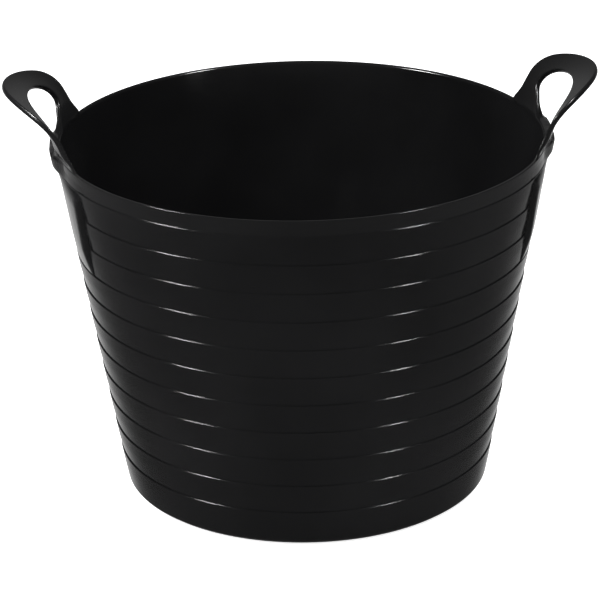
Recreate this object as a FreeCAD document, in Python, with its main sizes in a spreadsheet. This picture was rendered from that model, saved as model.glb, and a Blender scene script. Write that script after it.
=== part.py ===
import FreeCAD, Part
import math
import os

import Sketcher

# Two-handled flexible bucket of soft black polyethylene.
#
# The real bucket is one injection moulding. It is described here as the regions that a mould
# maker names: the standing ring, the floor, the stepped wall, the two halves of the rim, a
# thick panel under each handle, and the two handles, which bend at their roots.
#
# Millimetres, +Z up. The origin is the centre of the circle that the bucket stands on. The
# handles are at +X ("right") and -X ("left").

SIZES = (
    ("rim_radius", 195.5, "outside of the lip"),
    ("tub_height", 290.5, "standing face to the top of the lip"),
    ("base_radius", 148.1, "outside of the wall cone, produced down to the standing face"),
    ("wall_thickness", 3.0, "wall and rim"),
    ("rim_band_height", 12.5, "plain band between the lip and the first ring ledge"),
    ("rim_band_draft", 0.2, "how much the wall cone lies inside the lip at the first ledge"),
    ("lip_bevel", 1.0, "bevel of both lip edges"),
    ("ring_pitch", 24.75, "height from one ring ledge to the next"),
    ("ring_ledge", 0.7, "how far each ledge steps out"),
    ("ring_land", 11.0, "straight stretch below each ledge"),
    ("lowest_ring", 24.0, "no ledge is lower than this"),
    ("floor_thickness", 3.5, "floor"),
    ("base_round", 3.0, "rounding of the floor's outer edge"),
    ("foot_height", 1.5, "standing ring, below the floor"),
    ("foot_width", 12.0, "standing ring"),
    ("foot_setback", 0.5, "from the floor's rounding in to the standing ring"),
    ("gate_radius", 6.0, "disc round the moulding gate, under the floor"),
    ("gate_height", 0.8, "disc round the moulding gate"),
    ("panel_half_width", 84.4, "handle panel at the rim"),
    ("panel_foot_half_width", 72.3, "handle panel at its lower edge"),
    ("panel_proud", 1.0, "handle panel outside the wall cone, near the rim"),
    ("panel_foot_proud", 2.0, "handle panel outside the wall cone, at its lower edge"),
    ("shoulder_height", 6.0, "slope from the panel out to the lug, below the first ledge"),
    ("lug_standoff", 4.1, "outside of the lug from the outside of the lip"),
    ("strap_thickness", 4.0, "handle and lug"),
    ("flare_radius", 51.6, "bend of the handle outwards, at the middle of its thickness"),
    ("arch_tilt", 35.0, "degrees that the handle's outline plane leans outwards"),
    ("arch_half_width", 69.2, "handle, outside of its legs"),
    ("arch_height", 62.8, "rim to crown, in the outline plane"),
    ("arch_spring", 17.4, "rim to where the corners start, in the outline plane"),
    ("arch_corner", 33.5, "corner radius"),
    ("arch_foot_round", 22.9, "hollow between the legs and the rim"),
    ("arch_foot_drop", 12.0, "foot of that hollow below the outline plane's zero"),
    ("finger_half_width", 42.4, "finger hole"),
    ("finger_half_height", 20.4, "finger hole, in the outline plane"),
    ("finger_centre", 21.9, "middle of the finger hole, in the outline plane"),
    ("bend_height", 14.0, "bending line of the handle above the lip"),
    ("bend_inset", 4.7, "bending line of the handle inside the lip's radius"),
    ("root_round", 10.0, "rounded root of the handle"),
    ("root_gap", 0.3, "running gap between the root and the panel"),
)

PANEL_RINGS = 3          # the panel's lower edge lies on this ring ledge, counted from zero
HANDLE_SWEEP = 70.0      # degrees of revolution that hold a panel or a handle
REACH = 260.0            # half size of the tools that cut right through
ROOT_REACH = 60.0        # half size of the tools that cut a handle's root
LEAST_CUT = 1.0          # cubic millimetres: a cut that removes less has missed
SAME_HEIGHT = 1e-4       # how near two heights are to count as one


class Size:
    """A size that carries its spreadsheet formula beside its value."""

    def __init__(self, value, formula):
        self.value = value
        self.formula = formula

    def __add__(self, other):
        other = as_size(other)
        return Size(self.value + other.value, "(%s + %s)" % (self.formula, other.formula))

    def __sub__(self, other):
        other = as_size(other)
        return Size(self.value - other.value, "(%s - %s)" % (self.formula, other.formula))

    def __mul__(self, other):
        other = as_size(other)
        return Size(self.value * other.value, "(%s * %s)" % (self.formula, other.formula))

    def __truediv__(self, other):
        other = as_size(other)
        return Size(self.value / other.value, "(%s / %s)" % (self.formula, other.formula))

    def __neg__(self):
        return Size(-self.value, "(0 - %s)" % self.formula)


def as_size(number):
    """A plain number as a Size."""
    if isinstance(number, Size):
        return number
    return Size(float(number), "%.6g" % number)


def make_sheet(doc):
    """Write the sizes into the document's spreadsheet and return them as Size values."""
    sheet = doc.addObject("Spreadsheet::Sheet", "sizes")
    sizes = {}
    for row, (name, value, meaning) in enumerate(SIZES, start=1):
        sheet.set("A%d" % row, meaning)
        sheet.set("B%d" % row, str(value))
        sheet.setAlias("B%d" % row, name)
        sizes[name] = Size(value, "sizes.%s" % name)
    doc.recompute()
    return sizes


# ---------------------------------------------------------------- sketch and feature helpers

def new_body(doc, label):
    """A named body at the model's origin."""
    body = doc.addObject("PartDesign::Body", label)
    body.Label = label
    return body


def new_sketch(body, name, plane_role):
    """A sketch on one of the body's own origin planes."""
    sketch = body.newObject("Sketcher::SketchObject", name)
    for plane in body.Origin.OriginFeatures:
        if plane.Role == plane_role:
            sketch.AttachmentSupport = [(plane, "")]
    sketch.MapMode = "FlatFace"
    return sketch


def bind(sketch, kind, references, size):
    """Add a dimension to a sketch and tie it to the sheet."""
    index = sketch.addConstraint(Sketcher.Constraint(kind, *references, size.value))
    sketch.setExpression("Constraints[%d]" % index, size.formula)


def pin(sketch, kind, geometry, point, size):
    """Hold one coordinate of a point, measured from the sketch's origin."""
    if size.value < 0:
        bind(sketch, kind, (geometry, point, -1, 1), -size)
    else:
        bind(sketch, kind, (-1, 1, geometry, point), size)


def pin_point(sketch, geometry, point, corner):
    """Hold both coordinates of a point."""
    pin(sketch, "DistanceX", geometry, point, corner[0])
    pin(sketch, "DistanceY", geometry, point, corner[1])


def vector(corner):
    """The sketch-plane vector of a pair of sizes."""
    return FreeCAD.Vector(corner[0].value, corner[1].value, 0)


def add_line(sketch, start, end):
    """A straight edge whose ends another call pins or joins."""
    return sketch.addGeometry(Part.LineSegment(vector(start), vector(end)))


def add_arc(sketch, centre, radius, start_degrees, end_degrees):
    """An arc, anticlockwise, with its centre and radius tied to the sheet."""
    circle = Part.Circle(vector(centre), FreeCAD.Vector(0, 0, 1), radius.value)
    start = math.radians(start_degrees)
    end = math.radians(end_degrees)
    arc = sketch.addGeometry(Part.ArcOfCircle(circle, start, end))
    pin_point(sketch, arc, 3, centre)
    bind(sketch, "Radius", (arc,), radius)
    return arc


def join(sketch, first, first_point, second, second_point):
    """Make two end points one."""
    ends = (first, first_point, second, second_point)
    sketch.addConstraint(Sketcher.Constraint("Coincident", *ends))


def add_polygon(sketch, corners):
    """A closed outline of straight edges with every corner pinned."""
    count = len(corners)
    lines = []
    for index in range(count):
        lines.append(add_line(sketch, corners[index], corners[(index + 1) % count]))
    for index in range(count):
        join(sketch, lines[index], 2, lines[(index + 1) % count], 1)
        pin_point(sketch, lines[index], 1, corners[index])


def add_chain(sketch, corners):
    """Straight edges through the corners, with only the corners between the ends pinned."""
    lines = []
    for start, end in zip(corners[:-1], corners[1:]):
        lines.append(add_line(sketch, start, end))
    for index in range(1, len(lines)):
        join(sketch, lines[index - 1], 2, lines[index], 1)
        pin_point(sketch, lines[index], 1, corners[index])
    return lines[0], lines[-1]


def revolve(body, sketch, name, degrees):
    """Turn a profile about the vertical axis, half of the angle to each side."""
    turned = body.newObject("PartDesign::Revolution", name)
    turned.Profile = sketch
    for axis in body.Origin.OriginFeatures:
        if axis.Role == "Z_Axis":
            turned.ReferenceAxis = (axis, [""])
    turned.Midplane = True
    turned.Angle = degrees
    return turned


def cut_through(body, sketch, name, length=2 * REACH):
    """Cut a sketch's regions out of a body, to both sides of the sketch."""
    pocket = body.newObject("PartDesign::Pocket", name)
    pocket.Profile = sketch
    pocket.SideType = "Symmetric"
    pocket.Type = "Length"
    pocket.Length = length
    body.Document.recompute()
    before = pocket.BaseFeature.Shape.Volume
    if not pocket.Shape.Volume < before - LEAST_CUT:
        raise RuntimeError("%s of %s cuts nothing" % (name, body.Label))
    return pocket


def round_edges(body, base, name, radius, wanted):
    """Round those edges of the base feature that the test picks."""
    body.Document.recompute()
    picked = []
    for index, edge in enumerate(base.Shape.Edges, start=1):
        if wanted(edge):
            picked.append("Edge%d" % index)
    rounded = body.newObject("PartDesign::Fillet", name)
    rounded.Base = (base, picked)
    rounded.setExpression("Radius", radius.formula)
    return rounded


def lies_at(edge, height):
    """Whether an edge is level and at a given height."""
    box = edge.BoundBox
    return abs(box.ZMin - height) < SAME_HEIGHT and abs(box.ZMax - height) < SAME_HEIGHT


# ---------------------------------------------------------------- shared places

def first_ledge(size):
    """Height of the uppermost ring ledge."""
    return size["tub_height"] - size["rim_band_height"]


def cone(size, height):
    """Outside radius of the plain wall cone at a height."""
    top = size["rim_radius"] - size["rim_band_draft"]
    spread = top - size["base_radius"]
    return size["base_radius"] + spread * height / first_ledge(size)


def ledge_count(size):
    """How many ring ledges fit between the rim band and the lowest one allowed."""
    room = first_ledge(size).value - size["lowest_ring"].value
    return int(room / size["ring_pitch"].value) + 1


def ledge_height(size, number):
    """Height of a ring ledge, counted down from the rim."""
    return first_ledge(size) - size["ring_pitch"] * number


def floor_top(size):
    """Height of the floor's upper face."""
    return size["foot_height"] + size["floor_thickness"]


def lug_middle(size):
    """Radius of the middle of the handle's thickness at the rim."""
    return size["rim_radius"] + size["lug_standoff"] - size["strap_thickness"] / 2


# ---------------------------------------------------------------- tub

def make_foot_ring(doc, size):
    """The ring that the bucket stands on."""
    body = new_body(doc, "foot_ring")
    sketch = new_sketch(body, "foot_ring_profile", "XZ_Plane")
    outside = size["base_radius"] - size["base_round"] - size["foot_setback"]
    inside = outside - size["foot_width"]
    low = as_size(0)
    high = size["foot_height"]
    add_polygon(sketch, [(inside, low), (outside, low), (outside, high), (inside, high)])
    revolve(body, sketch, "foot_ring_turned", 360)
    return body


def make_floor(doc, size):
    """The floor, with the small disc of the moulding gate under its middle."""
    body = new_body(doc, "floor")
    sketch = new_sketch(body, "floor_profile", "XZ_Plane")
    axis = as_size(0)
    low = size["foot_height"]
    high = floor_top(size)
    gate = low - size["gate_height"]
    add_polygon(sketch, [
        (axis, gate),
        (size["gate_radius"], gate),
        (size["gate_radius"], low),
        (cone(size, low), low),
        (cone(size, high), high),
        (axis, high),
    ])
    turned = revolve(body, sketch, "floor_turned", 360)
    gate_edge = size["gate_radius"].value
    round_edges(body, turned, "floor_edge", size["base_round"],
                lambda edge: lies_at(edge, low.value) and edge.BoundBox.XMax > 2 * gate_edge)
    return body


def wall_outside(size):
    """Corners of the stepped outside of the wall, from the first ledge down to the floor."""
    half_ledge = size["ring_ledge"] / 2
    corners = []
    for number in range(ledge_count(size)):
        height = ledge_height(size, number)
        land_end = height - size["ring_land"]
        if number > 0:
            corners.append((cone(size, height) - half_ledge, height))
        corners.append((cone(size, height) + half_ledge, height))
        corners.append((cone(size, land_end) + half_ledge, land_end))
    corners.append((cone(size, floor_top(size)), floor_top(size)))
    return corners


def make_wall(doc, size):
    """The stepped wall, open where the two handle panels stand."""
    body = new_body(doc, "wall")
    sketch = new_sketch(body, "wall_profile", "XZ_Plane")
    low = floor_top(size)
    high = first_ledge(size)
    inside = [
        (cone(size, low) - size["wall_thickness"], low),
        (cone(size, high) - size["wall_thickness"], high),
    ]
    add_polygon(sketch, wall_outside(size) + inside)
    revolve(body, sketch, "wall_turned", 360)

    window = new_sketch(body, "panel_window", "YZ_Plane")
    bottom = ledge_height(size, PANEL_RINGS)
    top = size["tub_height"]
    wide = size["panel_half_width"]
    narrow = size["panel_foot_half_width"]
    add_polygon(window, [
        (-narrow, bottom),
        (narrow, bottom),
        (wide, high),
        (wide, top),
        (-wide, top),
        (-wide, high),
    ])
    cut_through(body, window, "panel_windows")
    return body


def make_rim_half(doc, size, label, side):
    """One half of the rim band and its bevelled lip, between the two handle panels."""
    body = new_body(doc, label)
    sketch = new_sketch(body, label + "_profile", "XZ_Plane")
    low = first_ledge(size)
    high = size["tub_height"]
    outside = size["rim_radius"]
    inside = outside - size["wall_thickness"]
    lip = size["lip_bevel"]
    add_polygon(sketch, [
        (cone(size, low) - size["wall_thickness"], low),
        (cone(size, low) - size["ring_ledge"] / 2, low),
        (outside, high - lip),
        (outside - lip, high),
        (inside + lip, high),
        (inside, high - lip),
    ])
    revolve(body, sketch, label + "_turned", 360)

    away = new_sketch(body, label + "_other_side", "XY_Plane")
    near = size["panel_half_width"]
    far = as_size(REACH)
    if side < 0:
        corners = [(-far, -near), (far, -near), (far, far), (-far, far)]
    else:
        corners = [(-far, -far), (far, -far), (far, near), (-far, near)]
    add_polygon(away, corners)
    cut_through(body, away, label + "_end", length=4 * REACH)
    return body


# ---------------------------------------------------------------- handles

def lean_sketch(sketch, size):
    """Lean a YZ sketch outwards about the middle of the lug at the rim."""
    turn = FreeCAD.Rotation(FreeCAD.Vector(1, 0, 0), size["arch_tilt"].value)
    place = FreeCAD.Vector(0, size["tub_height"].value, lug_middle(size).value)
    sketch.AttachmentOffset = FreeCAD.Placement(place, turn)
    sketch.setExpression("AttachmentOffset.Base.y", size["tub_height"].formula)
    sketch.setExpression("AttachmentOffset.Base.z", lug_middle(size).formula)
    sketch.setExpression("AttachmentOffset.Rotation.Angle", size["arch_tilt"].formula)


def crown_arc(size):
    """Radius of the crown, and where it meets the corner arcs it is tangent to."""
    corner = size["arch_corner"]
    across = size["arch_half_width"] - corner
    rise = size["arch_height"] - size["arch_spring"]
    radius = (across * across + rise * rise - corner * corner) / (rise * 2 - corner * 2)
    centre = size["arch_height"] - radius
    between = radius - corner
    meet_across = across + corner * across / between
    meet_height = size["arch_spring"] + corner * (size["arch_spring"] - centre) / between
    return radius, meet_across, meet_height


def direction_degrees(centre, point):
    """Direction from a centre to a point, anticlockwise from the sketch's first axis."""
    reach = vector(point) - vector(centre)
    return math.degrees(math.atan2(reach.y, reach.x)) % 360.0


def cut_arch(body, size, label, keep_sides):
    """Cut away what lies outside the handle's arch and the hollows at its feet.

    A panel keeps what lies beside the feet, below the hollows; a handle doesn't.
    """
    sketch = new_sketch(body, label + "_arch", "YZ_Plane")
    lean_sketch(sketch, size)
    radius, meet_across, meet_height = crown_arc(size)
    width = size["arch_half_width"]
    corner = size["arch_corner"]
    spring = size["arch_spring"]
    foot = size["arch_foot_round"]
    foot_level = -size["arch_foot_drop"]
    foot_centre = foot_level + foot
    corner_across = width - corner
    crown_centre = (as_size(0), size["arch_height"] - radius)
    meet = (meet_across, meet_height)
    far = as_size(REACH)

    turn = direction_degrees((corner_across, spring), meet)
    arcs = {
        "right_foot": add_arc(sketch, (width + foot, foot_centre), foot, 180, 270),
        "right_corner": add_arc(sketch, (corner_across, spring), corner, 0, turn),
        "left_corner": add_arc(sketch, (-corner_across, spring), corner, 180 - turn, 180),
        "left_foot": add_arc(sketch, (-(width + foot), foot_centre), foot, 270, 360),
    }
    crown_circle = Part.Circle(vector(crown_centre), FreeCAD.Vector(0, 0, 1), radius.value)
    start = crown_circle.parameter(vector(meet))
    end = crown_circle.parameter(vector((-meet_across, meet_height)))
    crown = sketch.addGeometry(Part.ArcOfCircle(crown_circle, start, end))
    bind(sketch, "Radius", (crown,), radius)

    pin(sketch, "DistanceY", arcs["right_foot"], 1, foot_centre)
    pin(sketch, "DistanceX", arcs["right_foot"], 2, width + foot)
    pin(sketch, "DistanceY", arcs["right_corner"], 1, spring)
    pin(sketch, "DistanceX", arcs["right_corner"], 2, meet_across)
    pin(sketch, "DistanceX", arcs["left_corner"], 1, -meet_across)
    pin(sketch, "DistanceY", arcs["left_corner"], 2, spring)
    pin(sketch, "DistanceX", arcs["left_foot"], 1, -(width + foot))
    pin(sketch, "DistanceY", arcs["left_foot"], 2, foot_centre)
    join(sketch, arcs["right_corner"], 2, crown, 1)
    join(sketch, crown, 2, arcs["left_corner"], 1)

    right_leg = add_line(sketch, (width, spring), (width, foot_centre))
    join(sketch, right_leg, 1, arcs["right_corner"], 1)
    join(sketch, right_leg, 2, arcs["right_foot"], 1)
    left_leg = add_line(sketch, (-width, foot_centre), (-width, spring))
    join(sketch, left_leg, 1, arcs["left_foot"], 2)
    join(sketch, left_leg, 2, arcs["left_corner"], 2)
    below = foot_level if keep_sides else -far
    beside = [] if keep_sides else [width + foot]
    right = [(width + foot, foot_level)] + [(across, below) for across in beside]
    left = [(-across, height) for across, height in reversed(right)]
    around = [(far, below), (far, far), (-far, far), (-far, below)]
    first, last = add_chain(sketch, right + around + left)
    join(sketch, first, 1, arcs["right_foot"], 2)
    join(sketch, last, 2, arcs["left_foot"], 1)
    cut_through(body, sketch, label + "_arch_cut")


def cut_finger_hole(body, size, label):
    """Cut the oval finger hole."""
    sketch = new_sketch(body, label + "_finger_hole", "YZ_Plane")
    lean_sketch(sketch, size)
    centre = (as_size(0), size["finger_centre"])
    across = size["finger_half_width"]
    upwards = size["finger_half_height"]
    oval = sketch.addGeometry(Part.Ellipse(vector(centre), across.value, upwards.value))
    sketch.exposeInternalGeometry(oval)
    long_axis = oval + 1
    short_axis = oval + 2
    pin_point(sketch, oval, 3, centre)
    sketch.addConstraint(Sketcher.Constraint("Horizontal", long_axis))
    bind(sketch, "Distance", (long_axis,), across * 2)
    bind(sketch, "Distance", (short_axis,), upwards * 2)
    cut_through(body, sketch, label + "_finger_cut")


def cut_root(body, size, label, upwards):
    """Part a handle from its panel along a cylinder about the bending line.

    Upwards is 1 on the panel, which keeps what is below, and -1 on the handle.
    """
    sketch = new_sketch(body, label + "_root", "XZ_Plane")
    across = size["rim_radius"] - size["bend_inset"]
    height = size["tub_height"] + size["bend_height"]
    radius = size["root_round"]
    level = height
    if upwards > 0:
        radius = radius + size["root_gap"]
        level = height - size["root_gap"]
    half = add_arc(sketch, (across, height), radius, 180, 360)
    pin(sketch, "DistanceY", half, 1, level)
    pin(sketch, "DistanceY", half, 2, level)
    far = as_size(ROOT_REACH)
    edge = height + far * upwards
    first, last = add_chain(sketch, [
        (across + radius, level),
        (across + far, level),
        (across + far, edge),
        (across - far, edge),
        (across - far, level),
        (across - radius, level),
    ])
    join(sketch, first, 1, half, 2)
    join(sketch, last, 2, half, 1)
    cut_through(body, sketch, label + "_root_cut")


def add_flare(sketch, size, outer_join, inner_join):
    """Quarter arcs of the handle's two faces, joined to the edges that end at the rim."""
    rim = size["tub_height"]
    half = size["strap_thickness"] / 2
    centre = (lug_middle(size) + size["flare_radius"], rim)
    near_radius = size["flare_radius"] - half
    far_radius = size["flare_radius"] + half
    outer = add_arc(sketch, centre, near_radius, 90, 180)
    inner = add_arc(sketch, centre, far_radius, 90, 180)
    tip = add_line(sketch, (centre[0], rim + near_radius), (centre[0], rim + far_radius))
    for arc in (outer, inner):
        pin(sketch, "DistanceX", arc, 1, centre[0])
        pin(sketch, "DistanceY", arc, 2, rim)
    join(sketch, tip, 1, outer, 1)
    join(sketch, tip, 2, inner, 1)
    join(sketch, outer, 2, *outer_join)
    join(sketch, inner, 2, *inner_join)


def make_panel(doc, size, label, turn):
    """The thick panel and lug under one handle, up to the handle's bending root."""
    body = new_body(doc, label)
    sketch = new_sketch(body, label + "_profile", "XZ_Plane")
    rim = size["tub_height"]
    bottom = ledge_height(size, PANEL_RINGS)
    ledge = first_ledge(size)
    shoulder = ledge - size["shoulder_height"]
    half = size["strap_thickness"] / 2
    lug_outside = lug_middle(size) + half
    lug_inside = lug_middle(size) - half
    wall = size["wall_thickness"]
    first, last = add_chain(sketch, [
        (lug_inside, rim),
        (size["rim_radius"] - wall, rim),
        (cone(size, ledge) - wall, ledge),
        (cone(size, bottom) - wall, bottom),
        (cone(size, bottom) + size["panel_foot_proud"], bottom),
        (cone(size, shoulder) + size["panel_proud"], shoulder),
        (lug_outside, ledge),
        (lug_outside, rim),
    ])
    add_flare(sketch, size, (last, 2), (first, 1))
    revolve(body, sketch, label + "_turned", HANDLE_SWEEP)

    sides = new_sketch(body, label + "_sides", "YZ_Plane")
    wide = size["panel_half_width"]
    narrow = size["panel_foot_half_width"]
    far = as_size(REACH)
    top = rim + far
    add_polygon(sides, [(narrow, bottom), (far, bottom), (far, top), (wide, top), (wide, ledge)])
    add_polygon(sides, [(-narrow, bottom), (-wide, ledge), (-wide, top), (-far, top), (-far, bottom)])
    cut_through(body, sides, label + "_sides_cut")

    cut_arch(body, size, label, True)
    cut_finger_hole(body, size, label)
    cut_root(body, size, label, 1)
    body.Placement = FreeCAD.Placement(FreeCAD.Vector(), FreeCAD.Rotation(turn, 0, 0))
    return body


def make_handle(doc, size, label, turn):
    """One handle: a flared arch with a finger hole and a rounded root."""
    body = new_body(doc, label)
    sketch = new_sketch(body, label + "_profile", "XZ_Plane")
    rim = size["tub_height"]
    half = size["strap_thickness"] / 2
    base = add_line(sketch, (lug_middle(size) + half, rim), (lug_middle(size) - half, rim))
    add_flare(sketch, size, (base, 1), (base, 2))
    revolve(body, sketch, label + "_turned", HANDLE_SWEEP)
    cut_arch(body, size, label, False)
    cut_finger_hole(body, size, label)
    cut_root(body, size, label, -1)
    body.Placement = FreeCAD.Placement(FreeCAD.Vector(), FreeCAD.Rotation(turn, 0, 0))
    return body


# ---------------------------------------------------------------- the whole bucket

def check(doc, bodies):
    """Stop if any feature failed or any sub-part is not a sound solid."""
    for item in doc.Objects:
        if "Invalid" in item.State or "Error" in item.State:
            raise RuntimeError("%s failed: %s" % (item.Name, item.State))
    for body in bodies:
        shape = body.Shape
        if shape.isNull() or not shape.isValid() or not shape.Solids:
            raise RuntimeError("%s is not a sound solid" % body.Label)


def main():
    """Build the bucket and write one file for each sub-part."""
    doc = FreeCAD.newDocument("bucket")
    size = make_sheet(doc)
    bodies = [
        make_foot_ring(doc, size),
        make_floor(doc, size),
        make_wall(doc, size),
        make_rim_half(doc, size, "rim_front", -1),
        make_rim_half(doc, size, "rim_rear", 1),
        make_panel(doc, size, "handle_panel_right", 0),
        make_panel(doc, size, "handle_panel_left", 180),
        make_handle(doc, size, "handle_right", 0),
        make_handle(doc, size, "handle_left", 180),
    ]
    doc.recompute()
    check(doc, bodies)
    os.makedirs("parts", exist_ok=True)
    for body in bodies:
        body.Shape.exportStep("parts/%s.step" % body.Label)
        box = body.Shape.BoundBox
        print("%-20s solids %d volume %.0f  x %.1f..%.1f y %.1f..%.1f z %.1f..%.1f" % (
            body.Label, len(body.Shape.Solids), body.Shape.Volume,
            box.XMin, box.XMax, box.YMin, box.YMax, box.ZMin, box.ZMax))


main()
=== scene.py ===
# %% [markdown]
# # A soft black bucket with two handles
# The real bucket is one injection moulding of black low-density polyethylene: a stepped cone
# with a plain band at the rim, and two flared loops that grow out of thick panels. This
# notebook builds its looks around a frame that was made in CAD. The frame already knows every
# size and how the handles bend, so each cell here starts from the frame and adds what the eye
# needs: rounded ledges, soft edges, a moulded skin, and light that shows them.

# %% Load the frame
import math

import bmesh
import bpy
from mathutils import Matrix, Vector


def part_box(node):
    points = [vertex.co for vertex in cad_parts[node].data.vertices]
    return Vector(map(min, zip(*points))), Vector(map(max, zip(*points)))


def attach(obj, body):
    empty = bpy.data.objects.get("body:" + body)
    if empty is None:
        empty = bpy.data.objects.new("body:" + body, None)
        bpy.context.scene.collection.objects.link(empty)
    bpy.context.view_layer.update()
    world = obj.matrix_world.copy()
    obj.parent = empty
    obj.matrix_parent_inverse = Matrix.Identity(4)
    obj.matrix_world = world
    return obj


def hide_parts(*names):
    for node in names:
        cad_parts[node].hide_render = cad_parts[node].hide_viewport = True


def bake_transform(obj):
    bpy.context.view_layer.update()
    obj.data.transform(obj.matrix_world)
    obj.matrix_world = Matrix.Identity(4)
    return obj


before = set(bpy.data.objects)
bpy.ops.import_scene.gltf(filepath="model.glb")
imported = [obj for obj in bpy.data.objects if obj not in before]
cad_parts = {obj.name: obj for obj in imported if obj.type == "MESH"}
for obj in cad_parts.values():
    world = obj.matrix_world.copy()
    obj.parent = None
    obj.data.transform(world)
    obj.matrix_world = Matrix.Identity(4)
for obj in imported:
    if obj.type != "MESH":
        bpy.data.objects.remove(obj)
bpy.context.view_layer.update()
MM = 0.001

# %% [markdown]
# ## The driving sizes
# A turned shape needs few numbers. The rim, the floor and the standing ring are read from the
# boxes of the CAD nodes. The rest are the small sizes of the mould: how far apart the ring
# ledges are, how far each one steps out, and how softly its corner is rounded. The real ledges
# are less than a millimetre deep, but they are what the light draws.

# %% Sizes of the tub
RIM_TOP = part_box("rim_front")[1].z
RIM_RADIUS = -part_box("rim_front")[0].y
FIRST_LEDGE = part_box("rim_front")[0].z
FLOOR_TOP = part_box("floor")[1].z
FOOT_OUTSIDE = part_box("foot_ring")[1].x
FOOT_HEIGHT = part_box("foot_ring")[1].z
GATE_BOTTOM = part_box("floor")[0].z
FOOT_WIDTH = 12 * MM
FOOT_SETBACK = 0.5 * MM
FLOOR_ROUND = 3 * MM
BASE_RADIUS = FOOT_OUTSIDE + FOOT_SETBACK + FLOOR_ROUND
BAND_DRAFT = 0.2 * MM
WALL = 3 * MM
GATE_RADIUS = 6 * MM
RING_PITCH = 24.75 * MM
RING_COUNT = 11
RING_LAND = 11 * MM
LEDGE = 0.9 * MM


def cone(height):
    """Outside radius of the plain wall cone at a height."""
    return BASE_RADIUS + (RIM_RADIUS - BAND_DRAFT - BASE_RADIUS) * height / FIRST_LEDGE


print("rim radius", round(RIM_RADIUS, 4), "height", RIM_TOP, "base radius", round(BASE_RADIUS, 4))

# %% [markdown]
# ## The tub's section
# The wall, rim, floor and standing ring have one section, drawn here as corners, each with the
# size of its rounding. A vertex bevel with a profile of 0.5 turns each corner into an arc, as
# a mould maker's ball cutter does. Long straight runs then get a point close to each end.
# Without these holding points the smooth shading of a rounded corner leaks across the whole
# flat beside it, and a crisp ledge looks like a soft wave.

# %% Corners of the section
FINE = 0.3 * MM
LEDGE_ROUND = 0.62 * MM
LEDGE_HOLLOW = 0.25 * MM
LAND_ROUND = 2 * MM
LIP_OUTSIDE = 0.4 * MM
LIP_INSIDE = 1.6 * MM
FLOOR_FILLET = 7 * MM


def ledge_height(number):
    """Height of a ring ledge, counted down from the rim."""
    return FIRST_LEDGE - number * RING_PITCH


def wall_corners():
    """Corners of the stepped outside of the wall, from the floor up to the first ledge."""
    corners = []
    for number in reversed(range(RING_COUNT)):
        top = ledge_height(number)
        land = top - RING_LAND
        corners.append((cone(land) + LEDGE / 2, land, LAND_ROUND))
        corners.append((cone(top) + LEDGE / 2, top, LEDGE_ROUND))
        corners.append((cone(top) - LEDGE / 2, top, LEDGE_HOLLOW))
    return corners


def tub_section():
    """All corners from the middle of the underside, round the wall, to the middle of the floor."""
    foot_inside = FOOT_OUTSIDE - FOOT_WIDTH
    under = [
        (0, GATE_BOTTOM, 0),
        (GATE_RADIUS, GATE_BOTTOM, FINE),
        (GATE_RADIUS, FOOT_HEIGHT, FINE),
        (foot_inside, FOOT_HEIGHT, FINE),
        (foot_inside, 0, FINE),
        (FOOT_OUTSIDE, 0, FINE),
        (FOOT_OUTSIDE, FOOT_HEIGHT, FINE),
        (cone(FOOT_HEIGHT), FOOT_HEIGHT, FLOOR_ROUND),
    ]
    over = [
        (RIM_RADIUS, RIM_TOP, LIP_OUTSIDE),
        (RIM_RADIUS - WALL, RIM_TOP, LIP_INSIDE),
        (cone(FLOOR_TOP) - WALL, FLOOR_TOP, FLOOR_FILLET),
        (0, FLOOR_TOP, 0),
    ]
    return under + wall_corners() + over


section = tub_section()
print("corners in the section:", len(section))

# %% [markdown]
# ## Turning the section
# The bevel works on a wire of vertices and edges just as it does on a solid. It is done before
# the spin, because rounding forty points is far cheaper than rounding thousands of edges. The
# spin closes on itself with use_merge, and merging doubles welds the two poles on the axis.

# %% Round the corners and add the holding points
ROUND_SEGMENTS = 5
HOLD = 0.5 * MM
LONG_RUN = 3 * MM


def wire_from(corners):
    """A bmesh wire through (radius, height, rounding) corners, rounded by vertex bevels."""
    wire = bmesh.new()
    verts = [wire.verts.new((radius, 0, height)) for radius, height, rounding in corners]
    for first, second in zip(verts[:-1], verts[1:]):
        wire.edges.new((first, second))
    for vert, corner in zip(verts, corners):
        if corner[2] > 0:
            bmesh.ops.bevel(wire, geom=[vert], offset=corner[2], offset_type="OFFSET",
                            affect="VERTICES", segments=ROUND_SEGMENTS, profile=0.5,
                            material=-1, clamp_overlap=False)
    return wire


def hold_ends(wire):
    """Split each long run close to both of its ends."""
    for edge in [e for e in wire.edges if e.calc_length() > LONG_RUN]:
        start = edge.verts[0]
        rest, near = bmesh.utils.edge_split(edge, start, HOLD / edge.calc_length())
        long_part = max((rest, near.link_edges[0], near.link_edges[1]),
                        key=lambda e: e.calc_length())
        far_end = long_part.other_vert(near)
        bmesh.utils.edge_split(long_part, far_end, HOLD / long_part.calc_length())


section_wire = wire_from(section)
hold_ends(section_wire)
print("points on the rounded section:", len(section_wire.verts))

# %% Spin the section into the tub
AROUND = 288
POLE_WELD = 1e-6


def finish_mesh(shape, name):
    """Turn a bmesh into a smooth-shaded object that sits at the origin."""
    bmesh.ops.recalc_face_normals(shape, faces=shape.faces)
    for face in shape.faces:
        face.smooth = True
    mesh = bpy.data.meshes.new(name)
    shape.to_mesh(mesh)
    shape.free()
    piece = bpy.data.objects.new(name, mesh)
    bpy.context.scene.collection.objects.link(piece)
    return piece


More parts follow.
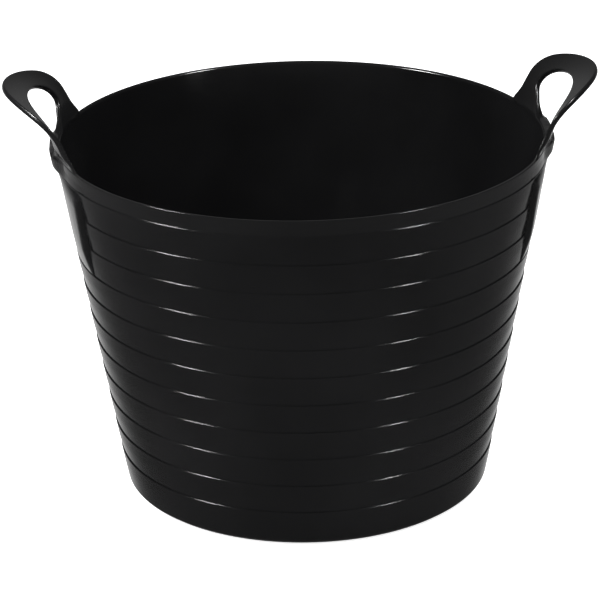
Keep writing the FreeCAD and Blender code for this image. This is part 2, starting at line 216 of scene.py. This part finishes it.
bmesh.ops.spin(section_wire, geom=section_wire.verts[:] + section_wire.edges[:],
               cent=(0, 0, 0), axis=(0, 0, 1), angle=2 * math.pi, steps=AROUND, use_merge=True)
bmesh.ops.remove_doubles(section_wire, verts=section_wire.verts[:], dist=POLE_WELD)
tub = finish_mesh(section_wire, "tub_moulding")
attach(tub, "tub")
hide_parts("wall", "rim_front", "rim_rear", "floor", "foot_ring")
print("tub faces:", len(tub.data.polygons))

# %% [markdown]
# ## The handle's pattern
# A handle is a sheet about 4 mm thick. Its outline is easiest to draw flat, as a dressmaker
# draws a sleeve: a finger hole, an arch round it made of tangent arcs, hollows where the legs
# flow into the rim, and the panel below. The hole is an oval that narrows towards its foot, and
# the rim cuts its lower end straight. The plane of the drawing leans outwards, as the handle
# does. The finished sheet is this pattern laid over a surface that runs up the panel and then
# curls outwards on one large arc.

# %% Sizes of the handles
STRAP = 4 * MM
LUG_STANDS = 4.1 * MM
LUG_MIDDLE = RIM_RADIUS + LUG_STANDS - STRAP / 2
FLARE = 51.6 * MM
LEAN = math.radians(35)
HOLE_ACROSS = 47.8 * MM
HOLE_UP = 27.5 * MM
HOLE_MIDDLE = 16.3 * MM
HOLE_FLOOR = 0.3 * MM
HOLE_CORNER = 6 * MM
HOLE_NARROW = 0.25
HOLE_LOW = 0.65
ARCH_HALF = 67.6 * MM
ARCH_TOP = 62.8 * MM
SPRING = 17.4 * MM
CORNER = 33.5 * MM
HOLLOW = 40 * MM
HOLLOW_TOP = 16.2 * MM
PANEL_HALF = 84.4 * MM
PANEL_FOOT_HALF = 72.3 * MM
PANEL_BOTTOM = ledge_height(3)
WING_HALF = 90 * MM
BAND = RIM_TOP - FIRST_LEDGE

# %% The surface that the sheet follows
FACE_GAP = 1.2 * MM
HEEL = 14 * MM
LIP_COVER = 0.06 * MM
COVER_BOTTOM = 3 * MM
COVER_HIDDEN = 6 * MM
COVER_INSIDE = 72 * MM
COVER_OUTSIDE = 79 * MM
TRAVEL_RANGE = (-40 * MM, 80 * MM)
HALVINGS = 40


def smooth(low, high, value):
    """0 below low, 1 above high, and a smooth step between."""
    share = min(max((value - low) / (high - low), 0), 1)
    return share * share * (3 - 2 * share)


def across(radius, y):
    """x of a point at a radius from the tub's axis, beside its middle plane."""
    return math.sqrt(radius * radius - y * y)


def flare_point(travel, offset):
    """Radius and height on the outward curl, offset towards its outer (lower) side."""
    turn = travel / FLARE
    arm = FLARE - offset
    return LUG_MIDDLE + FLARE - arm * math.cos(turn), RIM_TOP + arm * math.sin(turn)


def lean_height(y, travel):
    """Height in the leaning pattern plane of a point of the sheet's middle."""
    radius, height = flare_point(max(travel, 0), 0)
    height += min(travel, 0)
    return ((across(radius, y) - LUG_MIDDLE) * math.sin(LEAN)
            + (height - RIM_TOP) * math.cos(LEAN))


def travel_at(y, wanted):
    """Travel along the sheet, from the rim, that reaches a height in the pattern plane."""
    low, high = TRAVEL_RANGE
    for _ in range(HALVINGS):
        middle = (low + high) / 2
        if lean_height(y, middle) < wanted:
            low = middle
        else:
            high = middle
    return (low + high) / 2


print("travel to the crown:", round(travel_at(0, ARCH_TOP), 4))

# %% [markdown]
# ## The panel's face
# The thick panel under a handle is stiffer and flatter than the round tub. In its middle it
# lies flush with the wall, so the ledges just break through it, and towards its two sides it
# stands proud by almost 5 mm. That is why its sides show as dark tapering strips. In its middle
# it swells into a lug at the height of the rim band. Beside the lug the band runs on unbroken,
# and the legs of the handle grow out of it. One formula gives the face: a circle through its
# middle and its sides.

# %% Height of the face and of the hidden back
SIDE_PROUD = 4.8 * MM
SIDE_FADE = 26 * MM
SIDE_EARLY = 0.3
MIDDLE_PROUD = 0.2 * MM
LUG_PROUD = 4.3 * MM
SWELL_TOP = RIM_TOP - 9 * MM
SWELL_BOTTOM = RIM_TOP - 16 * MM
LUG_END = (28 * MM, 52 * MM)
ROOT_RISE = 14 * MM
SHELF = 5 * MM
SINK = 0.3 * MM


def panel_half(height):
    """Half width of the panel at a height."""
    share = min(max((height - PANEL_BOTTOM) / (FIRST_LEDGE - PANEL_BOTTOM), 0), 1)
    return PANEL_FOOT_HALF + (PANEL_HALF - PANEL_FOOT_HALF) * share


def panel_face(y, height):
    """x of the panel's outer face."""
    swell = smooth(SWELL_BOTTOM, SWELL_TOP, height)
    middle = cone(height) + MIDDLE_PROUD + (LUG_PROUD - MIDDLE_PROUD) * swell
    half = panel_half(height)
    side = (across(cone(height), half)
            + SIDE_PROUD * smooth(-SIDE_EARLY * SIDE_FADE, SIDE_FADE,
                                 height - PANEL_BOTTOM))
    hump = middle - side
    radius = (half * half + hump * hump) / (2 * hump)
    return middle - radius + across(radius, y)


def flushness(y, height):
    """0 on the lug and the panel, 1 above the panel's shoulder, flush with the band."""
    shoulder = smooth(FIRST_LEDGE - SHELF, FIRST_LEDGE, height)
    return smooth(LUG_END[0], LUG_END[1], abs(y)) * shoulder


def outer_point(y, travel):
    """Point on the outer, lower face of the sheet."""
    if travel < 0:
        height = RIM_TOP + travel
        face = panel_face(y, height)
        band = across(RIM_RADIUS - SINK, y)
        return Vector((face + (band - face) * flushness(y, height), y, height))
    radius, height = flare_point(travel, STRAP / 2)
    proud = LUG_MIDDLE + STRAP / 2 - RIM_RADIUS + SINK
    drop = proud * flushness(y, RIM_TOP) * (1 - smooth(0, ROOT_RISE, travel))
    return Vector((across(radius - drop, y), y, height))


def inner_wall(height):
    """Radius of the tub's inner face at a height."""
    low = cone(FLOOR_TOP) - WALL
    return low + (RIM_RADIUS - WALL - low) * (height - FLOOR_TOP) / (RIM_TOP - FLOOR_TOP)


def inner_point(y, travel):
    """Point on the inner, upper face, which covers the lip and then sinks into the wall."""
    cover = 1 - smooth(COVER_INSIDE, COVER_OUTSIDE, abs(y))
    if travel < 0:
        height = RIM_TOP + travel
        hidden = min(LUG_MIDDLE - STRAP / 2 - FACE_GAP, cone(height) - FACE_GAP)
        flush = inner_wall(height) - LIP_COVER
        part = cover * (1 - smooth(COVER_BOTTOM, COVER_HIDDEN, -travel))
        return Vector((across(hidden + (flush - hidden) * part, y), y, height))
    radius, height = flare_point(travel, -STRAP / 2)
    lip = LUG_MIDDLE - STRAP / 2 - inner_wall(RIM_TOP) + LIP_COVER
    gap = FACE_GAP + (lip - FACE_GAP) * cover
    heel = max(1 - travel / HEEL, 0)
    return Vector((across(radius, y) - gap * heel * heel, y, height))


print("lug face", round(outer_point(0, 0).x, 4), "crown", outer_point(0, travel_at(0, ARCH_TOP)))

# %% [markdown]
# ## Rounded edges without a bevel
# The edge of a handle is pressed against a hand, so it is moulded almost fully round. A bevel
# would do it, but the sheet thins out where its legs melt into the rim, and a bevel as wide as
# the edge is thick folds over itself there. So the two faces of the sheet are made to meet: at
# the outline both lie at the same depth, and they part on a squarish curve (a superellipse)
# within 1.5 mm. Near the rim the outer face rolls over about twice as softly, as the band's
# lip does. The rows of the mesh are placed close together there, to carry the curve.

# %% How the faces meet at an edge
EDGE_ROUND = 1.5 * MM
SQUARENESS = 2.6
EDGE_ROWS = [0, 0.04 * MM, 0.14 * MM, 0.32 * MM, 0.6 * MM, 1.0 * MM, 1.6 * MM]
MEET_LOW = -3 * MM
MEET_HIGH = 30 * MM
ROOT_ROUNDER = 1.2
NOTHING = 0.001 * MM


def opening(distance, rounding):
    """How far the two faces have parted at a distance from the outline, from 0 to 1."""
    inwards = 1 - min(max((distance - NOTHING) / rounding, 0), 1)
    return (1 - inwards ** SQUARENESS) ** (1 / SQUARENESS)


def sheet_point(y, travel, distance, inner):
    """Point of the finished sheet; distance is how far inside the outline it lies."""
    up = smooth(MEET_LOW, MEET_HIGH, travel)
    meet = 1 - 0.5 * up
    part = opening(distance, EDGE_ROUND * (1 + ROOT_ROUNDER * (1 - up)))
    depth = 1 - (1 - meet) * (1 - part) if inner else meet * (1 - part)
    return outer_point(y, travel).lerp(inner_point(y, travel), depth)


# %% [markdown]
# ## The outline as stations
# The part of the sheet round the finger hole is a belt of quads. Each station of the belt joins
# a point of the hole to a point of the outline. The outline is walked from the middle of the
# band's lower edge, out past the panel to the end of the wing, back along the lip to the notch
# where the leg begins, up the hollow and the leg, round the corner arc and over the crown. Only
# half of it is described, because a handle is the same on both sides.

# %% Points of the half outline
PANEL_STATIONS = 27
WING_STATIONS = 6
CREST_STATIONS = 6
HOLLOW_STATIONS = 10
LEG_STATIONS = 4
CORNER_STATIONS = 14
CROWN_STATIONS = 18
NOTCH = 76 * MM
CREST_DROP = 1.6 * MM


def crown_circle():
    """Radius of the crown, its centre's height, and where it meets the corner arc."""
    flat = ARCH_HALF - CORNER
    rise = ARCH_TOP - SPRING
    radius = (flat * flat + rise * rise - CORNER * CORNER) / (2 * (rise - CORNER))
    centre = ARCH_TOP - radius
    return radius, centre, math.atan2(SPRING - centre, flat)


def arc_points(centre_y, centre_w, radius, start, end, count):
    """Points of an arc in the pattern plane, without its first one."""
    angles = [start + (end - start) * step / count for step in range(1, count + 1)]
    return [(centre_y + radius * math.cos(a), centre_w + radius * math.sin(a)) for a in angles]


def panel_line():
    """Half widths of the stations along the panel's top, close together at its side."""
    even = PANEL_STATIONS - len(EDGE_ROWS) + 1
    inside = PANEL_HALF - EDGE_ROWS[-1]
    return ([inside * step / even for step in range(even)]
            + [PANEL_HALF - row for row in reversed(EDGE_ROWS)])


def half_outline():
    """(y, travel) of the outline's stations from the panel's middle to the crown."""
    low = -BAND
    points = [(y, low) for y in panel_line()]
    for step in range(1, WING_STATIONS + 1):
        points.append((PANEL_HALF + (WING_HALF - PANEL_HALF) * step / WING_STATIONS, low))
    points.append((WING_HALF, low / 2))
    for step in range(CREST_STATIONS):
        points.append((WING_HALF + (NOTCH - WING_HALF) * step / CREST_STATIONS, -CREST_DROP))
    foot = math.pi + math.acos(1 - (NOTCH - ARCH_HALF) / HOLLOW)
    leaning = arc_points(ARCH_HALF + HOLLOW, HOLLOW_TOP, HOLLOW, foot, math.pi,
                         HOLLOW_STATIONS)
    for step in range(1, LEG_STATIONS + 1):
        leaning.append((ARCH_HALF, HOLLOW_TOP + (SPRING - HOLLOW_TOP) * step / LEG_STATIONS))
    radius, centre, meet = crown_circle()
    leaning += arc_points(ARCH_HALF - CORNER, SPRING, CORNER, 0, meet, CORNER_STATIONS)
    leaning += arc_points(0, centre, radius, meet, math.pi / 2, CROWN_STATIONS)
    points.append((NOTCH, -CREST_DROP / 2))
    return points + [(y, travel_at(y, w)) for y, w in leaning]


outline = half_outline()
STATIONS = len(outline) - 1
FIRST_FREE = PANEL_STATIONS
print("stations on half a belt:", STATIONS, "of which on the panel:", FIRST_FREE)

# %% Points of the half oval, one for each station
OVAL_PANEL = math.radians(-52)
OVAL_FOOT = math.radians(-28)
FOOT_STATION = FIRST_FREE + WING_STATIONS + 1 + CREST_STATIONS


def oval_angle(station):
    """Direction from the hole's middle at which a station leaves the oval."""
    if station <= FIRST_FREE:
        share = outline[station][0] / PANEL_HALF
        return -math.pi / 2 + (OVAL_PANEL + math.pi / 2) * share
    if station <= FOOT_STATION:
        share = (station - FIRST_FREE) / (FOOT_STATION - FIRST_FREE)
        return OVAL_PANEL + (OVAL_FOOT - OVAL_PANEL) * share
    share = (station - FOOT_STATION) / (STATIONS - FOOT_STATION)
    return OVAL_FOOT + (math.pi / 2 - OVAL_FOOT) * share


def soft_maximum(first, second, width):
    """The larger of two values, rounded off where they are closer than a width."""
    close = max(width - abs(first - second), 0) / width
    return max(first, second) + close * close * width / 4


def oval_point(station):
    """(y, travel) of the oval at a station."""
    angle = oval_angle(station)
    narrow = 1 - HOLE_NARROW * smooth(0, HOLE_LOW, -math.sin(angle))
    y = max(HOLE_ACROSS * narrow * math.cos(angle), 0)
    travel = travel_at(y, HOLE_MIDDLE + HOLE_UP * math.sin(angle))
    return y, soft_maximum(travel, HOLE_FLOOR, HOLE_CORNER)


oval = [oval_point(station) for station in range(STATIONS + 1)]
print("hole from", [round(v, 4) for v in oval[0]], "to", [round(v, 4) for v in oval[-1]])

# %% [markdown]
# ## Laying the belt and the panel
# Both start as plain grids from create_grid. Each vertex of a grid only says which station and
# row it is, and is then carried to its place on the sheet. Every grid is made twice, once for
# the outer face and once for the inner. Where they meet, doubles are merged, and the result is
# one closed skin.

# %% Place a vertex of the belt
MIDDLE_ROWS = 10


def rows_between(length):
    """Distances across the belt, close together at both ends."""
    start = EDGE_ROWS
    end = [length - row for row in reversed(EDGE_ROWS)]
    gap = end[0] - start[-1]
    middle = [start[-1] + gap * step / MIDDLE_ROWS for step in range(1, MIDDLE_ROWS)]
    return start + middle + end


BELT_ROWS = 2 * len(EDGE_ROWS) + MIDDLE_ROWS - 2


def belt_place(station, row, inner):
    """Point of the belt at a signed station, counted from the panel's middle."""
    side = -1 if station < 0 else 1
    at = abs(station)
    start, end = Vector(oval[at]), Vector(outline[at])
    length = (end - start).length
    distance = rows_between(length)[row]
    y, travel = start.lerp(end, distance / length)
    to_outline = length - distance
    if at <= FIRST_FREE:
        to_outline = math.hypot(PANEL_HALF - y, travel + BAND)
    return sheet_point(side * y, travel, min(distance, to_outline), inner)


def panel_place(station, row, inner):
    """Point of the panel below the rim band."""
    side = -1 if station < 0 else 1
    drop = FIRST_LEDGE - PANEL_BOTTOM
    height = FIRST_LEDGE - rows_between(drop)[row]
    half = panel_half(height)
    y = outline[abs(station)][0] * half / PANEL_HALF
    distance = min(half - y, height - PANEL_BOTTOM)
    return sheet_point(side * y, height - RIM_TOP, distance, inner)


def lay_grid(shape, stations, rows, place, inner):
    """Make a grid of unit squares and carry its vertices with a placing function."""
    made = bmesh.ops.create_grid(shape, x_segments=2 * stations, y_segments=rows, size=1)
    for vert in made["verts"]:
        station = round(vert.co.x * stations)
        row = round((vert.co.y + 1) / 2 * rows)
        vert.co = place(station, row, inner)


# %% Make the right and the left handle
SEAM_WELD = 2e-6
SLIVER = 1e-7


def make_handle(side):
    """One handle with its panel, on the side that its name says."""
    shape = bmesh.new()
    for inner in (False, True):
        lay_grid(shape, STATIONS, BELT_ROWS, belt_place, inner)
        lay_grid(shape, PANEL_STATIONS, BELT_ROWS, panel_place, inner)
    bmesh.ops.remove_doubles(shape, verts=shape.verts[:], dist=SEAM_WELD)
    bmesh.ops.dissolve_degenerate(shape, edges=shape.edges[:], dist=SLIVER)
    if side == "left":
        bmesh.ops.rotate(shape, verts=shape.verts[:], matrix=Matrix.Rotation(math.pi, 3, "Z"))
    open_edges = [edge for edge in shape.edges if not edge.is_manifold]
    handle = finish_mesh(shape, "handle_moulding_" + side)
    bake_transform(handle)
    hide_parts("handle_panel_" + side, "handle_" + side)
    print(handle.name, "faces", len(handle.data.polygons), "open edges", len(open_edges))
    return handle


handles = [make_handle("right"), make_handle("left")]

# %% [markdown]
# ## Black polyethylene
# Moulded polyethylene is never one flat black. Its skin is a faint orange peel, flow lines run
# round the tub, and handling leaves small scuffs that scatter light. The colour hardly changes,
# so the detail goes into roughness and bump. Hands rub the loops a little duller than the wall,
# so the gloss also falls off above the rim. Everything reads Object coordinates, which stay
# with the piece when a handle bends.

# %% A helper for node trees


def add_node(tree, kind, **settings):
    """Add a node and set its properties, or the inputs whose names match."""
    node = tree.nodes.new(kind)
    for name, value in settings.items():
        if name in node.inputs:
            node.inputs[name].default_value = value
        else:
            setattr(node, name, value)
    return node


def stretched_noise(tree, stretch, scale, detail, roughness=0.5):
    """Noise on Object coordinates that are stretched along each axis."""
    place = add_node(tree, "ShaderNodeTexCoord")
    mapping = add_node(tree, "ShaderNodeMapping", Scale=stretch)
    noise = add_node(tree, "ShaderNodeTexNoise", Scale=scale, Detail=detail,
                     Roughness=roughness)
    tree.links.new(place.outputs["Object"], mapping.inputs["Vector"])
    tree.links.new(mapping.outputs["Vector"], noise.inputs["Vector"])
    return noise.outputs["Fac"]


def remap(tree, value, from_low, from_high, to_low, to_high):
    """Carry a value from one range to another, held at both ends."""
    node = add_node(tree, "ShaderNodeMapRange")
    node.inputs["From Min"].default_value = from_low
    node.inputs["From Max"].default_value = from_high
    node.inputs["To Min"].default_value = to_low
    node.inputs["To Max"].default_value = to_high
    tree.links.new(value, node.inputs["Value"])
    return node.outputs["Result"]


def combine(tree, operation, first, second):
    """One Math node on two values or sockets."""
    node = add_node(tree, "ShaderNodeMath", operation=operation)
    for socket, value in zip(node.inputs, (first, second)):
        if isinstance(value, (int, float)):
            socket.default_value = value
        else:
            tree.links.new(value, socket)
    return node.outputs["Value"]


# %% The moulded skin
SKIN_DARK = (0.0042, 0.0042, 0.0044, 1)
SKIN_LIGHT = (0.0066, 0.0066, 0.0069, 1)
SCUFF_COLOUR = (0.022, 0.022, 0.023, 1)
SCUFF_SHOWS = 0.35
SCUFF_DULL = 0.12
GRIP_DULL = 0.12
GRIP_FADE = 12 * MM
GLOSS_LOW = 0.11
GLOSS_HIGH = 0.15
FLOW_GLOSS = 0.008
PEEL_HEIGHT = 0.022 * MM
GRAIN_HEIGHT = 0.002 * MM
FLOW_HEIGHT = 0.003 * MM
POLYETHYLENE_IOR = 1.51
EVEN = (1, 1, 1)
ROUND_THE_TUB = (6, 6, 190)
THIN_LINES = (14, 14, 700)


def make_polyethylene():
    """Black low-density polyethylene: soft gloss, orange peel, flow lines and light scuffs."""
    material = bpy.data.materials.new("black_polyethylene")
    material.use_nodes = True
    tree = material.node_tree
    shader = tree.nodes["Principled BSDF"]
    shader.inputs["IOR"].default_value = POLYETHYLENE_IOR
    cloud = stretched_noise(tree, EVEN, scale=9, detail=3)
    peel = stretched_noise(tree, EVEN, scale=420, detail=2)
    flow = stretched_noise(tree, ROUND_THE_TUB, scale=3, detail=4)
    grain = stretched_noise(tree, EVEN, scale=2400, detail=1)
    scratch = stretched_noise(tree, THIN_LINES, scale=1.7, detail=5, roughness=0.7)
    scuff = combine(tree, "MULTIPLY", remap(tree, scratch, 0.62, 0.72, 0, 1),
                    remap(tree, cloud, 0.52, 0.66, 0, 1))

    tone = add_node(tree, "ShaderNodeMix", data_type="RGBA")
    tone.inputs["A"].default_value = SKIN_DARK
    tone.inputs["B"].default_value = SKIN_LIGHT
    tree.links.new(remap(tree, cloud, 0.35, 0.65, 0, 1), tone.inputs["Factor"])
    marked = add_node(tree, "ShaderNodeMix", data_type="RGBA")
    marked.inputs["B"].default_value = SCUFF_COLOUR
    tree.links.new(tone.outputs["Result"], marked.inputs["A"])
    tree.links.new(combine(tree, "MULTIPLY", scuff, SCUFF_SHOWS), marked.inputs["Factor"])
    tree.links.new(marked.outputs["Result"], shader.inputs["Base Color"])

    gloss = combine(tree, "ADD", remap(tree, cloud, 0.3, 0.7, GLOSS_LOW, GLOSS_HIGH),
                    remap(tree, flow, 0.35, 0.65, -FLOW_GLOSS, FLOW_GLOSS))
    split = add_node(tree, "ShaderNodeSeparateXYZ")
    tree.links.new(add_node(tree, "ShaderNodeTexCoord").outputs["Object"],
                   split.inputs["Vector"])
    worn = remap(tree, split.outputs["Z"], RIM_TOP, RIM_TOP + GRIP_FADE, 0, GRIP_DULL)
    gloss = combine(tree, "ADD", gloss, worn)
    rough = combine(tree, "ADD", gloss, combine(tree, "MULTIPLY", scuff, SCUFF_DULL))
    tree.links.new(rough, shader.inputs["Roughness"])

    height = combine(tree, "ADD", combine(tree, "MULTIPLY", peel, PEEL_HEIGHT),
                     combine(tree, "MULTIPLY", grain, GRAIN_HEIGHT))
    height = combine(tree, "ADD", height, combine(tree, "MULTIPLY", flow, FLOW_HEIGHT))
    bump = add_node(tree, "ShaderNodeBump", Strength=1.0, Distance=1.0)
    tree.links.new(height, bump.inputs["Height"])
    tree.links.new(bump.outputs["Normal"], shader.inputs["Normal"])
    return material


polyethylene = make_polyethylene()
for piece in [tub] + handles:
    piece.data.materials.append(polyethylene)
print("nodes in the skin:", len(polyethylene.node_tree.nodes))

# %% [markdown]
# ## The floor
# The bucket stands on a plain pale floor. To the camera the floor is lifted to white, but only
# by a fixed amount, so the soft shadow under the bucket stays. Glossy rays pass through it and
# see the room below instead, so one gradient in the room draws all that the skin mirrors.

# %% Make the floor
FLOOR_HALF = 4.0
FLOOR_PALE = (0.74, 0.74, 0.75, 1)
FLOOR_LIFT = 0.78


def make_floor_material():
    """Pale matt floor, white to the camera, and not there for glossy rays."""
    material = bpy.data.materials.new("pale_floor")
    material.use_nodes = True
    tree = material.node_tree
    tree.nodes.clear()
    path = add_node(tree, "ShaderNodeLightPath")
    matt = add_node(tree, "ShaderNodeBsdfDiffuse", Color=FLOOR_PALE)
    lift = add_node(tree, "ShaderNodeEmission")
    tree.links.new(combine(tree, "MULTIPLY", path.outputs["Is Camera Ray"], FLOOR_LIFT),
                   lift.inputs["Strength"])
    seen = add_node(tree, "ShaderNodeAddShader")
    tree.links.new(matt.outputs["BSDF"], seen.inputs[0])
    tree.links.new(lift.outputs["Emission"], seen.inputs[1])
    facing = add_node(tree, "ShaderNodeNewGeometry")
    hidden = combine(tree, "MAXIMUM", facing.outputs["Backfacing"],
                     path.outputs["Is Glossy Ray"])
    clear = add_node(tree, "ShaderNodeBsdfTransparent")
    both = add_node(tree, "ShaderNodeMixShader")
    tree.links.new(hidden, both.inputs["Fac"])
    tree.links.new(seen.outputs["Shader"], both.inputs[1])
    tree.links.new(clear.outputs["BSDF"], both.inputs[2])
    output = add_node(tree, "ShaderNodeOutputMaterial")
    tree.links.new(both.outputs["Shader"], output.inputs["Surface"])
    return material


ground = bmesh.new()
bmesh.ops.create_grid(ground, x_segments=1, y_segments=1, size=FLOOR_HALF)
floor_mesh = bpy.data.meshes.new("studio_floor")
ground.to_mesh(floor_mesh)
ground.free()
studio_floor = bpy.data.objects.new("studio_floor", floor_mesh)
bpy.context.scene.collection.objects.link(studio_floor)
floor_mesh.materials.append(make_floor_material())

# %% [markdown]
# ## The camera
# A long lens from about two and a half metres keeps the bucket's two sides nearly parallel. The
# camera looks down by 22 degrees, which shows both the ring ledges and the inside of the back
# wall. It stands a little to one side of the handles' middle plane.

# %% Place the camera
LENS = 181.2
TILT = math.radians(22.16)
TURN = math.radians(-2.57)
ROLL = math.radians(-1.02)
DISTANCE = 2.4655
AIM_HEIGHT = 0.1452
SLIDE = 3.63 * MM
LIFT = 2.88 * MM


def camera_place():
    """Matrix of the camera from its tilt, distance, turn and roll."""
    forward = Vector((0, math.cos(TILT), -math.sin(TILT)))
    right = Vector((1, 0, 0))
    up = right.cross(forward)
    spot = Vector((0, 0, AIM_HEIGHT)) - DISTANCE * forward - SLIDE * right + LIFT * up
    rolled_right = right * math.cos(ROLL) + up * math.sin(ROLL)
    rolled_up = up * math.cos(ROLL) - right * math.sin(ROLL)
    turned = Matrix((rolled_right, rolled_up, -forward)).transposed().to_4x4()
    return Matrix.Rotation(TURN, 4, "Z") @ Matrix.Translation(spot) @ turned


camera_data = bpy.data.cameras.new("camera")
camera_data.lens = LENS
camera = bpy.data.objects.new("camera", camera_data)
camera.matrix_world = camera_place()
bpy.context.scene.collection.objects.link(camera)
bpy.context.scene.camera = camera
print("camera at", [round(v, 3) for v in camera.location])

# %% [markdown]
# ## The light
# Two soft boxes stand high on the left and on the right. Each rounded ledge mirrors them as one
# short bright line, so the lines stack up into two columns. The room gives matt surfaces one
# even level, and it is plain white to the camera. Black plastic shows little colour of its own
# and mostly mirrors, so glossy rays meet a studio instead: a dark floor and darker walls, a
# bright sweep low down behind the bucket, and a faint glow above the horizon.

# %% Soft boxes


def soft_box(name, direction, distance, width, height, power):
    """A rectangular lamp that looks at the bucket's middle from a direction."""
    lamp = bpy.data.lights.new(name, "AREA")
    lamp.shape = "RECTANGLE"
    lamp.size = width
    lamp.size_y = height
    lamp.energy = power
    holder = bpy.data.objects.new(name, lamp)
    middle = Vector((0, 0, RIM_TOP / 2))
    aim = Matrix.Rotation(TURN, 3, "Z") @ Vector(direction).normalized()
    holder.location = middle + distance * aim
    holder.rotation_euler = aim.to_track_quat("Z", "Y").to_euler()
    bpy.context.scene.collection.objects.link(holder)
    return holder


soft_box("left_box", direction=(-0.69, -0.20, 0.70), distance=2.2,
         width=0.50, height=0.36, power=50)
soft_box("right_box", direction=(0.53, -0.20, 0.82), distance=2.2,
         width=0.24, height=0.32, power=27)

# %% The room
ROOM_LEVEL = 0.8
FLOOR_NEAR = 0.10
FLOOR_FAR = 0.17
WALL_DARK = 0.03
SWEEP_BRIGHT = 0.6
SWEEP_START = 0.36
SWEEP_END = 0.98
SWEEP_POWER = 3
FRONT_WALL = 0.05
HORIZON_GLOW = 0.17
FLOOR_BAND = (-0.55, -0.4)
WALL_BAND = (-0.3, -0.08)
SWEEP_BAND = (-0.35, -0.08)
GLOW_BACK = (0.7, 0.95)
GLOW_BAND = (0.22, 0.4)
FRONT_SIDE = (-0.9, -0.3)


def make_room():
    """World light: level for matt rays, a studio gradient for glossy ones, white to the camera."""
    world = bpy.data.worlds.new("room")
    world.use_nodes = True
    tree = world.node_tree
    tree.nodes.clear()
    place = add_node(tree, "ShaderNodeTexCoord")
    split = add_node(tree, "ShaderNodeSeparateXYZ")
    tree.links.new(place.outputs["Generated"], split.inputs["Vector"])
    back, up = split.outputs["Y"], split.outputs["Z"]

    studio = combine(tree, "SUBTRACT", remap(tree, up, *FLOOR_BAND, FLOOR_NEAR, FLOOR_FAR),
                     remap(tree, up, *WALL_BAND, 0, FLOOR_FAR - WALL_DARK))
    sweep = combine(tree, "POWER", remap(tree, back, SWEEP_START, SWEEP_END, 0, 1), SWEEP_POWER)
    sweep = combine(tree, "MULTIPLY", sweep, remap(tree, up, *SWEEP_BAND, SWEEP_BRIGHT, 0))
    glow = combine(tree, "MULTIPLY", remap(tree, back, *GLOW_BACK, 0, HORIZON_GLOW),
                   remap(tree, up, *GLOW_BAND, 1, 0))
    front = combine(tree, "MULTIPLY", remap(tree, back, *FRONT_SIDE, FRONT_WALL, 0),
                    remap(tree, up, *WALL_BAND, 0, 1))
    for part in (sweep, glow, front):
        studio = combine(tree, "ADD", studio, part)

    path = add_node(tree, "ShaderNodeLightPath")
    kind = add_node(tree, "ShaderNodeMix")
    kind.inputs["A"].default_value = ROOM_LEVEL
    tree.links.new(studio, kind.inputs["B"])
    tree.links.new(path.outputs["Is Glossy Ray"], kind.inputs["Factor"])
    around = add_node(tree, "ShaderNodeBackground")
    tree.links.new(kind.outputs["Result"], around.inputs["Strength"])
    white = add_node(tree, "ShaderNodeBackground", Strength=1.0)
    both = add_node(tree, "ShaderNodeMixShader")
    tree.links.new(path.outputs["Is Camera Ray"], both.inputs["Fac"])
    tree.links.new(around.outputs["Background"], both.inputs[1])
    tree.links.new(white.outputs["Background"], both.inputs[2])
    output = add_node(tree, "ShaderNodeOutputWorld")
    tree.links.new(both.outputs["Shader"], output.inputs["Surface"])
    for background in (around, white):
        background.inputs["Color"].default_value = (1, 1, 1, 1)
    bpy.context.scene.world = world


make_room()
bpy.context.scene.view_settings.view_transform = "Standard"
